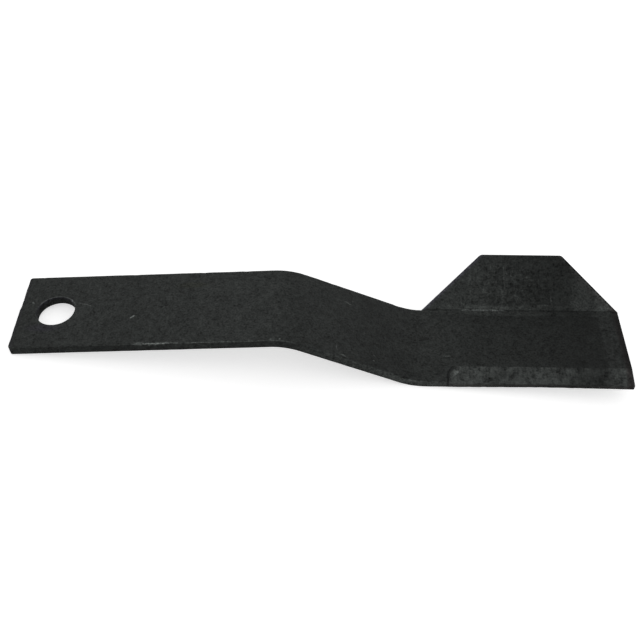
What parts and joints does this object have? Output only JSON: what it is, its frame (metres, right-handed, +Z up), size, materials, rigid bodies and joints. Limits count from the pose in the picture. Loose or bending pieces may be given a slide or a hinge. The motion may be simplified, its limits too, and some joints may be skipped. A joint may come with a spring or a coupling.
{
  "type": "rotary cutter blade",
  "caption": "Cranked flat-bar blade for a tractor-drawn rotary cutter: pivots on a bolt at one end, with a ground edge and an upswept lift wing at the other.",
  "frame": {"origin": "centre of the bolt hole on the top face of the bar, where the blade seats against its carrier", "axes": "+Z up along the bolt hole's axis, +X from the bolt hole towards the tip, +Y towards the trailing side that carries the lift wing, so the ground edge faces -Y"},
  "size_m": [0.5003, 0.1261, 0.0715],
  "materials": {
    "scaled_steel": "satin"
  },
  "bodies": {
    "root": {"blade": "scaled_steel"}
  },
  "joints": []
}
